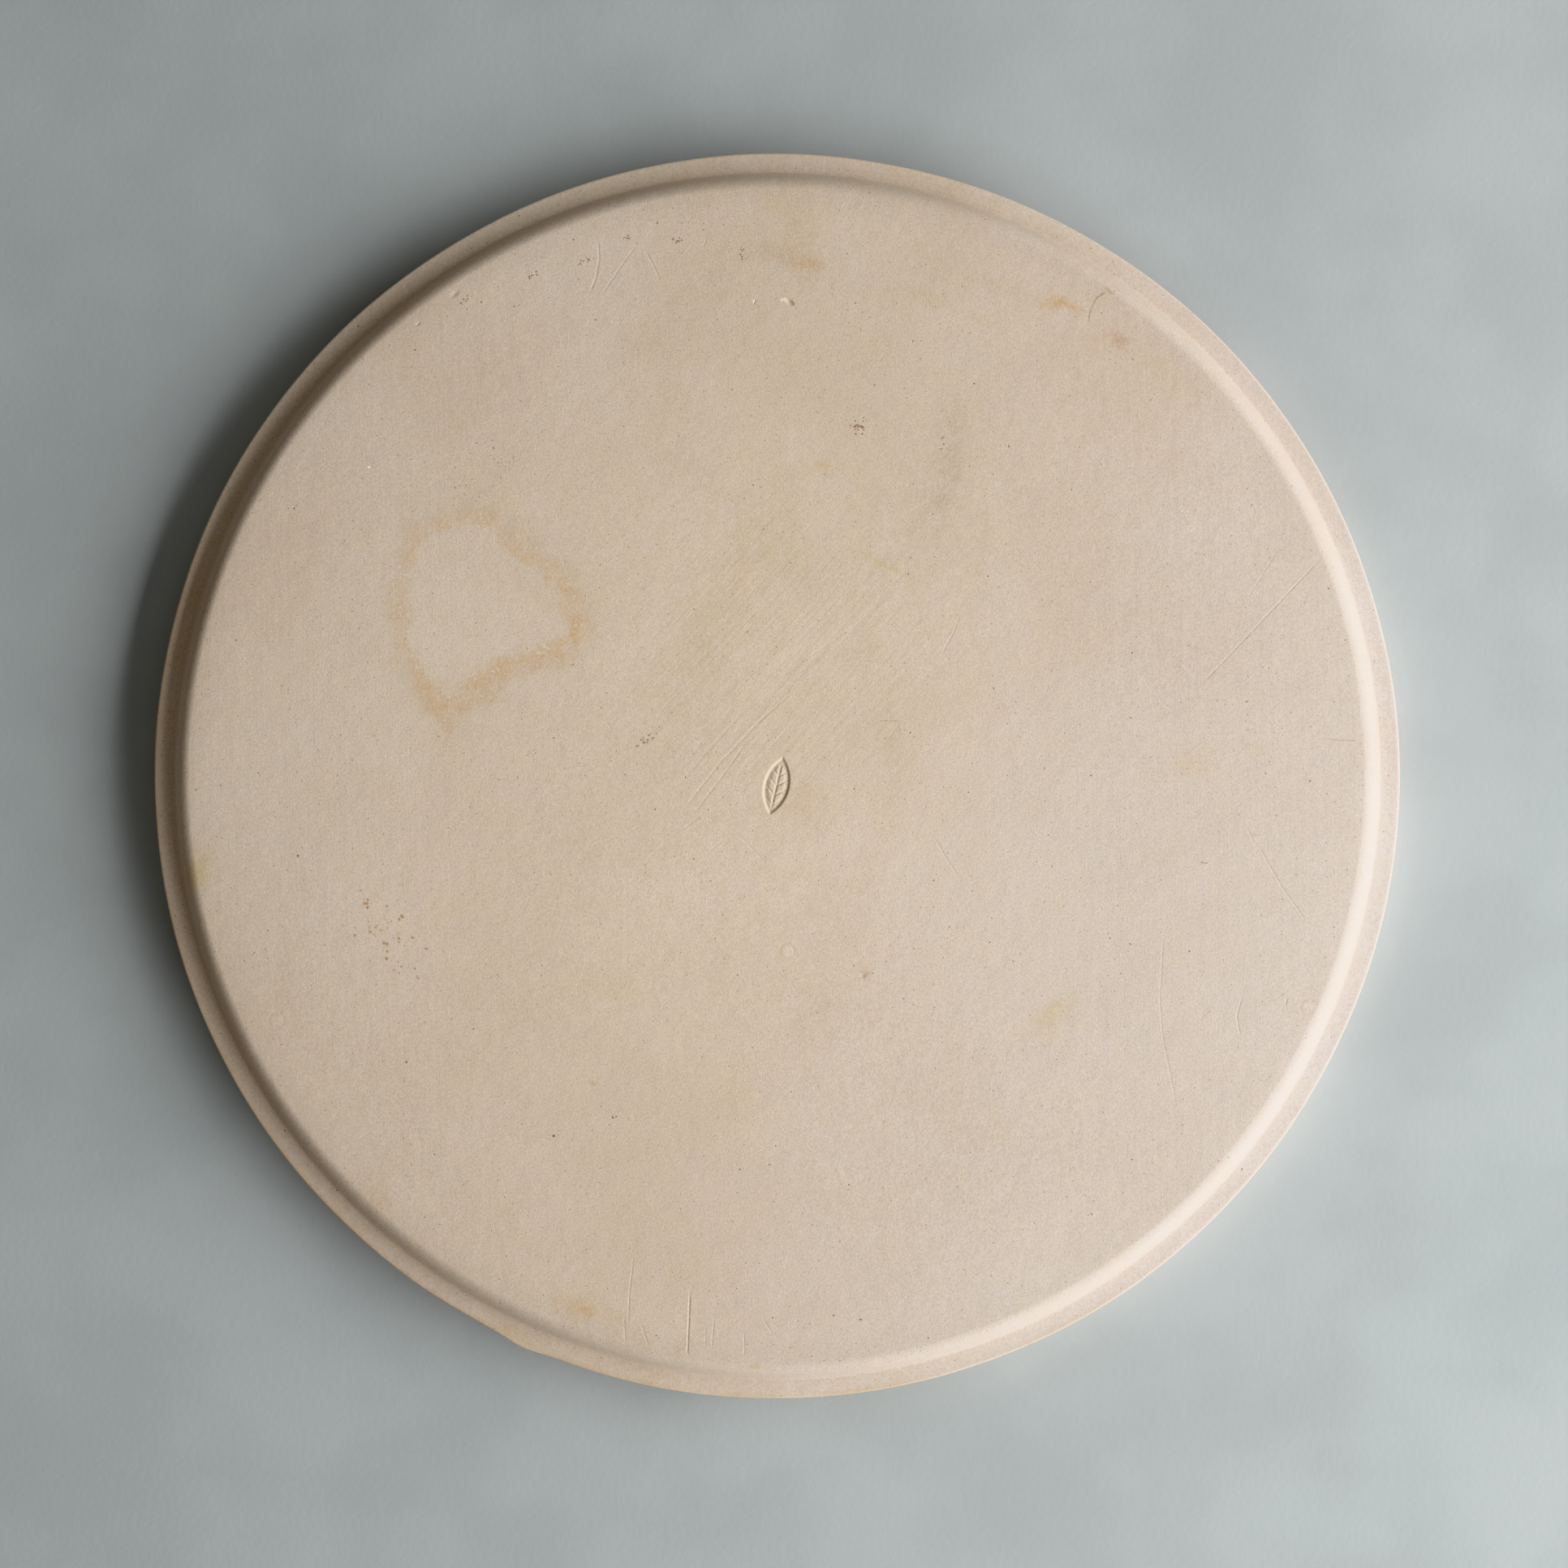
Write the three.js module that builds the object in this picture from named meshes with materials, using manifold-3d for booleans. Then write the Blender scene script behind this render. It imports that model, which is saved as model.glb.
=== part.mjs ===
// A one-part hump mould for draping clay: a round plaster slab with a raised plateau and a flat
// trimming lip. It is cast in two layers over a model. The face coat is the fine skin that the
// clay touches. The backing is the coarser plaster poured behind it, round a cage of galvanised
// wire: three hoops, eight spokes across them, and a turn of soft wire at every second crossing.
//
// Units are millimetres, +Z is up, and the origin is the middle of the underside.
import * as THREE from 'three';
import { mergeVertices } from 'three/addons/utils/BufferGeometryUtils.js';
import Module from 'manifold-3d';

const wasm = await Module();
wasm.setup();

// ---- driving dimensions ------------------------------------------------------------------

// Slab
const OUTER_RADIUS = 190.5;          // a 15 inch slab
const LIP_TOP = 12;                  // height of the flat lip
const PLATEAU_TOP = 19;              // height of the working plateau
const WALL_FOOT_RADIUS = 184.7;      // where the lip meets the sloping wall
const WALL_SLOPE = THREE.MathUtils.degToRad(65);
const PLATEAU_EDGE_ROUNDING = 4;
const WALL_FOOT_ROUNDING = 0.8;
const LIP_EDGE_ROUNDING = 1;
const FACE_THICKNESS = 7;            // fine plaster, measured upright under plateau and lip
const BACK_CHAMFER = 1.2;            // wiped off the arris of the underside
const BACKING_PROUD = 0.4;           // how far the backing stands out past the face coat
const GAP = 0.3;                     // clearance between neighbouring pieces

// Impressed mark: a plain leaf, pressed into the plateau
const MARK_LENGTH = 18;
const MARK_WIDTH = 8;
const MARK_DEPTH = 0.5;
const MARK_LEAN = THREE.MathUtils.degToRad(-13);
const MARK_PLACE = new THREE.Vector3(0, -3, PLATEAU_TOP);

// Wire cage
const HOOP_RADII = { outer: 165, middle: 108, inner: 50 };
const WIRE_DIAMETER = 2.5;
const TIE_DIAMETER = 1;
const SPOKE_COUNT = 8;
const SPOKE_OVERHANG = 7;            // how far a spoke runs past its first and last hoop
const TIE_END_ANGLE = 0.03;          // where a tie's cut ends stop, short of the loop's lowest point

// Facets. The hoops have multiples of 16, so that a corner lies on every crossing.
const SLAB_STEPS = 96;
const HOOP_STEPS = { outer: 64, middle: 48, inner: 32 };
const EDGE_STEPS = 5;                // on the plateau's rounded edge
const LIP_EDGE_STEPS = 3;
const WALL_FOOT_STEPS = 2;
const MARK_STEPS = 8;                // on each side of the leaf
const WIRE_SIDES = 8;
const TIE_SIDES = 6;
const TIE_STEPS = 18;
const MERGE_DISTANCE = 1e-5;

// ---- sizes worked out from them ----------------------------------------------------------

const FACE_UNDERSIDE = PLATEAU_TOP - FACE_THICKNESS;
const LIP_UNDERSIDE = LIP_TOP - FACE_THICKNESS;
const STEP_RADIUS = WALL_FOOT_RADIUS - FACE_THICKNESS;
const FACE_RADIUS = OUTER_RADIUS - BACKING_PROUD;
const WIRE_RADIUS = WIRE_DIAMETER / 2;
const TIE_RADIUS = TIE_DIAMETER / 2;

// The cage hangs just behind the face coat: tie, hoop, spoke and tie again, from the top down.
const HOOP_HEIGHT = FACE_UNDERSIDE - 2 * GAP - TIE_DIAMETER - WIRE_RADIUS;
const SPOKE_HEIGHT = HOOP_HEIGHT - WIRE_DIAMETER - GAP;
const TIE_TOP = HOOP_HEIGHT + WIRE_RADIUS + GAP + TIE_RADIUS;
const TIE_BOTTOM = SPOKE_HEIGHT - WIRE_RADIUS - GAP - TIE_RADIUS;
const SPOKE_START = HOOP_RADII.inner - SPOKE_OVERHANG;
const SPOKE_END = HOOP_RADII.outer + SPOKE_OVERHANG;

// Half the width of a tie's loop, on its centre line. The loop stands on the diagonal between
// two crossing wires, where each of them is wider.
const TIE_HALF_WIDTH = WIRE_RADIUS * Math.SQRT2 + 2 * GAP + TIE_RADIUS;

// ---- materials ---------------------------------------------------------------------------

const finish = (color, roughness, metalness) =>
  new THREE.MeshStandardMaterial({ color, roughness, metalness });

const facePlaster = () => finish('#d3bda5', 0.95, 0);
const backingPlaster = () => finish('#cbb69d', 0.98, 0);
const galvanisedWire = () => finish('#9a9c9c', 0.5, 0.9);
const softIronWire = () => finish('#6e6862', 0.6, 0.85);

// ---- helpers -----------------------------------------------------------------------------

// Points on an arc about a centre, from one angle to another, both ends included.
function arc(centreX, centreY, radius, fromAngle, toAngle, steps) {
  return Array.from({ length: steps + 1 }, (_, i) => {
    const angle = fromAngle + (toAngle - fromAngle) * i / steps;
    return new THREE.Vector2(
      centreX + radius * Math.cos(angle),
      centreY + radius * Math.sin(angle),
    );
  });
}

// Turns an outline of radius and height about the vertical axis. The outline runs up its outer
// side, so that the faces point out.
function turned(outline, steps) {
  return new THREE.LatheGeometry(outline, steps).rotateX(Math.PI / 2);
}

// A closed geometry as a solid that can be cut. Triangles that shrink to a line where a turned
// outline meets its axis are left out.
function toSolid(geometry) {
  const bare = geometry.clone();
  bare.deleteAttribute('normal');
  bare.deleteAttribute('uv');
  const merged = mergeVertices(bare, MERGE_DISTANCE);
  const triangles = [];
  for (let i = 0; i < merged.index.count; i += 3) {
    const [a, b, c] = [0, 1, 2].map((corner) => merged.index.getX(i + corner));
    if (a !== b && b !== c && c !== a) {
      triangles.push(a, b, c);
    }
  }
  return new wasm.Manifold(new wasm.Mesh({
    numProp: 3,
    vertProperties: new Float32Array(merged.attributes.position.array),
    triVerts: new Uint32Array(triangles),
  }));
}

function toGeometry(solid) {
  const mesh = solid.getMesh();
  const geometry = new THREE.BufferGeometry();
  geometry.setAttribute('position', new THREE.BufferAttribute(mesh.vertProperties, 3));
  geometry.setIndex(new THREE.BufferAttribute(mesh.triVerts, 1));
  geometry.computeVertexNormals();
  return geometry;
}

function named(name, geometry, material) {
  const mesh = new THREE.Mesh(geometry, material);
  mesh.name = name;
  return mesh;
}

// ---- places in the wire cage -------------------------------------------------------------

function spokeAngles() {
  return Array.from({ length: SPOKE_COUNT }, (_, i) => 2 * Math.PI * (i + 0.5) / SPOKE_COUNT);
}

// A tie goes on every second crossing of hoop and spoke, so that each of them is held and no two
// ties stand side by side.
function tiedCrossings() {
  return spokeAngles().flatMap((angle, spokeIndex) =>
    Object.values(HOOP_RADII)
      .filter((_, hoopIndex) => (spokeIndex + hoopIndex) % 2 === 0)
      .map((radius) => ({ angle, radius })));
}

// Moves something from the origin to a crossing, its X axis on the diagonal between the wires.
function crossingFrame({ angle, radius }) {
  const turn = new THREE.Matrix4().makeRotationZ(angle);
  const out = new THREE.Matrix4().makeTranslation(radius, 0, 0);
  const diagonal = new THREE.Matrix4().makeRotationZ(Math.PI / 4);
  return turn.multiply(out).multiply(diagonal);
}

// ---- face coat ---------------------------------------------------------------------------

// The skin in section: flat underside, step down to the lip, rounded lip edge, small hollow at
// the foot of the wall, sloping wall, generous rounding, flat plateau.
function faceOutline() {
  const lean = Math.PI / 2 - WALL_SLOPE;
  const footHeight = LIP_TOP + WALL_FOOT_ROUNDING;
  const foot = arc(
    WALL_FOOT_RADIUS, footHeight, WALL_FOOT_ROUNDING,
    1.5 * Math.PI, Math.PI + lean, WALL_FOOT_STEPS);
  const wallStart = foot.at(-1);

  const edgeHeight = PLATEAU_TOP - PLATEAU_EDGE_ROUNDING;
  const wallRise = edgeHeight + PLATEAU_EDGE_ROUNDING * Math.sin(lean) - wallStart.y;
  const wallEndRadius = wallStart.x - wallRise / Math.tan(WALL_SLOPE);
  const edgeRadius = wallEndRadius - PLATEAU_EDGE_ROUNDING * Math.cos(lean);

  return [
    new THREE.Vector2(0, FACE_UNDERSIDE),
    new THREE.Vector2(STEP_RADIUS, FACE_UNDERSIDE),
    new THREE.Vector2(STEP_RADIUS + GAP, LIP_UNDERSIDE),
    new THREE.Vector2(FACE_RADIUS, LIP_UNDERSIDE),
    ...arc(FACE_RADIUS - LIP_EDGE_ROUNDING, LIP_TOP - LIP_EDGE_ROUNDING, LIP_EDGE_ROUNDING,
      0, Math.PI / 2, LIP_EDGE_STEPS),
    ...foot,
    ...arc(edgeRadius, edgeHeight, PLATEAU_EDGE_ROUNDING, lean, Math.PI / 2, EDGE_STEPS),
    new THREE.Vector2(0, PLATEAU_TOP),
  ];
}

// The leaf's outline is two arcs that meet in a point at each end.
function leafStamp() {
  const halfLength = MARK_LENGTH / 2;
  const halfWidth = MARK_WIDTH / 2;
  const sideRadius = (halfLength ** 2 + halfWidth ** 2) / MARK_WIDTH;
  const sideCentre = sideRadius - halfWidth;
  const sideAngle = Math.asin(halfLength / sideRadius);
  const right = arc(-sideCentre, 0, sideRadius, -sideAngle, sideAngle, MARK_STEPS);
  const left = right.slice(1, -1).reverse().map((point) => new THREE.Vector2(-point.x, point.y));
  const leaf = new THREE.Shape([...right, ...left]);
  const stamp = new THREE.ExtrudeGeometry(leaf, { depth: 2 * MARK_DEPTH, bevelEnabled: false });
  stamp.translate(0, 0, -MARK_DEPTH);
  stamp.rotateZ(MARK_LEAN);
  return stamp.translate(...MARK_PLACE);
}

function faceCoat() {
  const solid = toSolid(turned(faceOutline(), SLAB_STEPS)).subtract(toSolid(leafStamp()));
  return named('face_coat', toGeometry(solid), facePlaster());
}

// ---- backing -----------------------------------------------------------------------------

function backingOutline() {
  const rimTop = LIP_UNDERSIDE - GAP;
  const top = FACE_UNDERSIDE - GAP;
  return [
    new THREE.Vector2(0, 0),
    new THREE.Vector2(OUTER_RADIUS - BACK_CHAMFER, 0),
    new THREE.Vector2(OUTER_RADIUS, BACK_CHAMFER),
    new THREE.Vector2(OUTER_RADIUS, rimTop),
    new THREE.Vector2(STEP_RADIUS, rimTop),
    new THREE.Vector2(STEP_RADIUS - GAP, top),
    new THREE.Vector2(0, top),
  ];
}

// The channel that a hoop lies in: half round below, open to the face coat above.
function hoopChannel(place) {
  const half = WIRE_RADIUS + GAP;
  const radius = HOOP_RADII[place];
  const groove = arc(radius, HOOP_HEIGHT, half, Math.PI, 2 * Math.PI, WIRE_SIDES / 2);
  const outline = [
    ...groove,
    new THREE.Vector2(radius + half, FACE_UNDERSIDE),
    new THREE.Vector2(radius - half, FACE_UNDERSIDE),
    groove[0],
  ];
  return turned(outline, HOOP_STEPS[place]);
}

function spokeTunnel(angle) {
  return straightWire(SPOKE_START - GAP, SPOKE_END + GAP, WIRE_RADIUS + GAP).rotateZ(angle);
}

// The slot that a tie stands in, open to the face coat above.
function tieSlot(crossing) {
  const bottom = TIE_BOTTOM - TIE_RADIUS - GAP;
  const height = FACE_UNDERSIDE - bottom;
  const thickness = TIE_DIAMETER + 2 * GAP;
  const slot = new THREE.BoxGeometry(2 * TIE_HALF_WIDTH + thickness, thickness, height);
  slot.translate(0, 0, bottom + height / 2);
  return slot.applyMatrix4(crossingFrame(crossing));
}

// The backing fills the hollow behind the skin and carries the rim. The wire cage lies in it
// with a little clearance.
function backingCast() {
  const hollows = [
    ...Object.keys(HOOP_RADII).map(hoopChannel),
    ...spokeAngles().map(spokeTunnel),
    ...tiedCrossings().map(tieSlot),
  ];
  let solid = toSolid(turned(backingOutline(), SLAB_STEPS));
  for (const hollow of hollows) {
    solid = solid.subtract(toSolid(hollow));
  }
  return named('backing_cast', toGeometry(solid), backingPlaster());
}

// ---- wire cage ---------------------------------------------------------------------------

function hoop(place) {
  const section = arc(HOOP_RADII[place], HOOP_HEIGHT, WIRE_RADIUS, 0, 2 * Math.PI, WIRE_SIDES);
  section[WIRE_SIDES] = section[0];
  return named(`hoop_${place}`, turned(section, HOOP_STEPS[place]), galvanisedWire());
}

// A round wire along +X at the height of the spokes.
function straightWire(start, end, radius) {
  const wire = new THREE.CylinderGeometry(radius, radius, end - start, WIRE_SIDES);
  wire.rotateZ(Math.PI / 2);
  return wire.translate((start + end) / 2, 0, SPOKE_HEIGHT);
}

function spoke(angle, index) {
  const wire = straightWire(SPOKE_START, SPOKE_END, WIRE_RADIUS).rotateZ(angle);
  return named(`spoke_${index + 1}`, wire, galvanisedWire());
}

// One turn of soft wire round both crossing wires, squared off at its corners. Its two cut ends
// nearly meet below the spoke.
function tie(crossing, index) {
  const middle = (TIE_TOP + TIE_BOTTOM) / 2;
  const rise = (TIE_TOP - TIE_BOTTOM) / 2;
  const squareOff = (value) => Math.sign(value) * Math.sqrt(Math.abs(value));
  const points = Array.from({ length: TIE_STEPS + 1 }, (_, i) => {
    const angle = TIE_END_ANGLE + 2 * (Math.PI - TIE_END_ANGLE) * i / TIE_STEPS;
    return new THREE.Vector3(
      TIE_HALF_WIDTH * squareOff(Math.sin(angle)), 0, middle - rise * squareOff(Math.cos(angle)));
  });
  const path = new THREE.CatmullRomCurve3(points);
  const section = new THREE.Shape(
    arc(0, 0, TIE_RADIUS, 0, 2 * Math.PI, TIE_SIDES).slice(0, TIE_SIDES));
  const loop = new THREE.ExtrudeGeometry(section, { steps: TIE_STEPS, extrudePath: path });
  loop.applyMatrix4(crossingFrame(crossing));
  return named(`tie_${String(index + 1).padStart(2, '0')}`, loop, softIronWire());
}

function wireCage() {
  const cage = new THREE.Group();
  cage.add(...Object.keys(HOOP_RADII).map(hoop));
  cage.add(...spokeAngles().map(spoke));
  cage.add(...tiedCrossings().map(tie));
  return cage;
}

// ---- the mould ---------------------------------------------------------------------------

const mould = new THREE.Group();
mould.add(faceCoat(), backingCast(), wireCage());

export default mould;
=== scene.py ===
"""Looks of the round plaster hump mould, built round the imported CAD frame.

Lengths in the tables below are millimetres. Everything handed to Blender is in metres.
"""

import math

import bpy
import numpy as np
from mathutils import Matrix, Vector
from mathutils.geometry import delaunay_2d_cdt


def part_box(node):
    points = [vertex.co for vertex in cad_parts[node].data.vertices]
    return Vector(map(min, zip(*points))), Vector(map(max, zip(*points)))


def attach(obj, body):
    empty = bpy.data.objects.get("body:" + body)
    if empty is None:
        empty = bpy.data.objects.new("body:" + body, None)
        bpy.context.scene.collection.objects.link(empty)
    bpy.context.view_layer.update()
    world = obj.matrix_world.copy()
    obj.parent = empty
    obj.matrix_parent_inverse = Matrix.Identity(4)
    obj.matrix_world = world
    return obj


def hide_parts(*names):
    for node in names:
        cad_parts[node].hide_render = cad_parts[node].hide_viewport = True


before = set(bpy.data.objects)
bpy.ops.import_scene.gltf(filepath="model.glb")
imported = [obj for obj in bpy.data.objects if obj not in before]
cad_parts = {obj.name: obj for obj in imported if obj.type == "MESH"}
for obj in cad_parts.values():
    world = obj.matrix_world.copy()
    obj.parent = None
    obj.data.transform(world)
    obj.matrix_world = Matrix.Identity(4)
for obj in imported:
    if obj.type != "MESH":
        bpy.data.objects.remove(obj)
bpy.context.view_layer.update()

MM = 0.001
SEED = 290

# ---- sizes: the outer ones come from the frame -----------------------------------------------

FACE_LOW, FACE_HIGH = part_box("face_coat")
BACK_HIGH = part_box("backing_cast")[1]
PLATEAU_TOP = FACE_HIGH.z / MM
FACE_RADIUS = FACE_HIGH.x / MM
FACE_RIM_BOTTOM = FACE_LOW.z / MM
BACK_RADIUS = BACK_HIGH.x / MM
BACK_TOP = BACK_HIGH.z / MM

LIP_DROP = 7.0                      # from plateau to lip
LIP_TOP = PLATEAU_TOP - LIP_DROP
FACE_THICKNESS = LIP_TOP - FACE_RIM_BOTTOM
FACE_UNDERSIDE = PLATEAU_TOP - FACE_THICKNESS
GAP = FACE_UNDERSIDE - BACK_TOP
WALL_FOOT_RADIUS = 184.7
WALL_SLOPE = math.radians(65)
EDGE_ROUNDING = 4.6                 # radii: the plateau's edge, the wall's foot, the lip's arris
FOOT_ROUNDING = 1.1
LIP_ROUNDING = 0.7
STEP_RADIUS = WALL_FOOT_RADIUS - FACE_THICKNESS
BACK_CHAMFER = 1.2

ROUND_STEPS = 512                   # corners round the slab
GRID = 2.4                          # spacing of the plateau's plain vertices

# Azimuths are counted anticlockwise from +X.
LIGHT_AZIMUTH = math.radians(-16)
WORN_AZIMUTH = math.radians(235)
KNOCK_AZIMUTH = math.radians(246)

# ---- hand marks on the plateau ---------------------------------------------------------------
# Places are (x, y) from the middle of the slab, +x right and +y away.

MARK_PLACE = (0.0, -3.0)
MARK_LENGTH = 18.0
MARK_WIDTH = 8.0
MARK_DEPTH = 0.5
MARK_LEAN = math.radians(-13)

# Scratches: corners, half width, depth.
SCRATCHES = [
    ([(-26.2, -156.3), (-27.0, -176.2)], 0.25, 0.115),
    ([(-43.3, -145.8), (-44.6, -156.9), (-44.9, -167.6)], 0.22, 0.048),
    ([(-46.1, -163.8), (-45.8, -172.7), (-44.6, -173.2)], 0.22, 0.055),
    ([(-40.9, -166.4), (-38.9, -172.4)], 0.22, 0.05),
    ([(-18.9, -164.5), (-19.6, -173.3)], 0.2, 0.055),
    ([(-21.5, -167.6), (-21.6, -172.7)], 0.18, 0.04),
    ([(-9.8, -168.9), (-9.7, -175.6)], 0.2, 0.05),
    ([(-4.1, -164.5), (-1.3, -168.9)], 0.2, 0.05),
    ([(-54.0, 162.0), (-53.7, 156.5), (-54.8, 150.6), (-56.6, 146.4)], 0.27, 0.065),
    ([(-52.9, 145.7), (-47.6, 153.8), (-42.8, 160.4)], 0.24, 0.042),
    ([(-39.2, 158.2), (-37.1, 154.3), (-35.3, 150.4)], 0.25, 0.055),
    ([(-21.2, 162.8), (-22.4, 159.7)], 0.22, 0.04),
    ([(165.8, 66.9), (146.6, 46.5), (137.7, 37.1), (131.8, 30.9), (127.3, 26.7)], 0.24, 0.05),
    ([(152.0, 68.6), (142.6, 53.6)], 0.2, 0.03),
    ([(117.4, -46.3), (116.2, -67.4), (116.9, -78.0), (121.5, -101.6)], 0.23, 0.036),
    ([(142.1, -14.7), (144.8, -20.4)], 0.18, 0.04),
    ([(146.5, -22.0), (153.0, -33.4), (161.0, -44.7)], 0.22, 0.055),
    ([(141.1, -66.8), (139.5, -72.6), (140.5, -78.9)], 0.24, 0.055),
    ([(154.7, -67.4), (154.2, -69.5)], 0.26, 0.08),
    ([(53.7, 43.5), (51.8, 40.2), (50.4, 37.4)], 0.24, 0.048),
    ([(55.3, 47.9), (53.7, 43.5)], 0.2, 0.03),
    ([(-29.0, -11.4), (-16.7, 4.5), (-5.2, 16.5), (5.0, 25.5)], 0.28, 0.042),
    ([(-25.2, -11.6), (-14.8, 2.0), (-9.4, 10.0)], 0.26, 0.038),
    ([(-30.5, -4.0), (-20.0, 8.6), (-12.0, 17.5)], 0.26, 0.014),
    ([(-0.4, 28.8), (28.0, 48.6)], 0.24, 0.014),
    ([(-27.0, 3.6), (-21.2, 9.2)], 0.22, 0.015),
    ([(-28.2, -16.2), (-22.6, -11.6)], 0.24, 0.03),
    ([(-21.4, -10.4), (-16.2, -6.4)], 0.22, 0.025),
    ([(-18.6, -13.0), (-12.0, -17.3), (-6.2, -23.1), (-3.3, -26.4)], 0.24, 0.042),
    ([(-20.2, -22.6), (-16.4, -19.8)], 0.22, 0.038),
    ([(7.6, -10.8), (12.5, -16.2)], 0.22, 0.03),
    ([(17.6, -17.3), (19.6, -19.5)], 0.22, 0.03),
    ([(12.2, -5.6), (18.0, -10.2)], 0.2, 0.02),
    ([(7.4, -2.0), (8.6, -3.2)], 0.22, 0.03),
    ([(13.0, 6.0), (22.0, 2.0), (35.0, -13.0)], 0.22, 0.012),
    ([(37.3, 15.8), (33.0, 10.2)], 0.22, 0.022),
    ([(48.4, -19.5), (51.6, -25.2), (55.2, -30.6)], 0.24, 0.055),
    ([(-32.0, 22.0), (-8.0, 48.0), (12.0, 64.0)], 0.28, 0.012),
    ([(-40.0, 24.0), (-20.0, 46.0)], 0.26, 0.012),
    ([(-24.0, 14.0), (2.0, 40.0), (22.0, 56.0)], 0.3, 0.01),
]

# Hairlines stained with clay: corners, half width, depth. The deepest one is fully stained.
FULL_STAIN_DEPTH = 0.04
STAINED_LINES = [
    ([(103.9, 147.4), (99.8, 146.8), (97.0, 145.0), (95.4, 142.2), (94.6, 139.5), (94.4, 136.7)],
     0.24, 0.04),
    ([(94.5, 140.4), (92.6, 141.2), (90.4, 143.0)], 0.2, 0.02),
    ([(176.0, 10.7), (170.4, 10.9), (166.2, 11.2)], 0.14, 0.018),
    ([(31.4, 16.8), (38.3, 16.6)], 0.2, 0.02),
]

# Small hollows: place, half length, half width, turn in degrees, depth.
PITS = [
    ((3.9, 143.7), 1.7, 0.8, -35, 0.4),
    ((-6.7, 143.6), 0.8, 0.25, 75, 0.14),
    ((53, 97), 12, 3.5, 86, 0.06),
    ((21, -120), 4.5, 1.6, -60, 0.06),
    ((166.4, -89.6), 0.6, 0.5, 0, 0.2),
    ((26.3, -60.5), 1, 0.8, 20, 0.08),
    ((-123.1, 93.5), 0.6, 0.3, 10, 0.1),
    ((148.9, 32.8), 0.6, 0.3, 30, 0.1),
    ((-97.6, 146), 1.6, 0.9, 35, 0.16),
    ((-108.6, 137), 1, 0.5, 35, 0.14),
]

# Round scars left by three pegs: place and radius.
PEG_SCARS = [((-151.5, -74), 2.3), ((3.2, -53), 2.2), ((161, -70), 2.2)]

# The tide mark of a wet lump of clay, anticlockwise from its left side.
TIDE_MARK = [
    (-113.5, 61.6), (-114.4, 50.0), (-111.0, 37.5), (-107.0, 29.0), (-101.5, 21.0),
    (-94.5, 23.0), (-88.0, 29.5), (-80.0, 33.8), (-71.0, 37.4), (-62.0, 41.5), (-61.0, 47.0),
    (-63.5, 54.0), (-68.5, 61.5), (-76.0, 68.0), (-84.0, 74.4), (-94.0, 78.4), (-103.5, 76.6),
    (-110.0, 71.0),
]

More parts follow.
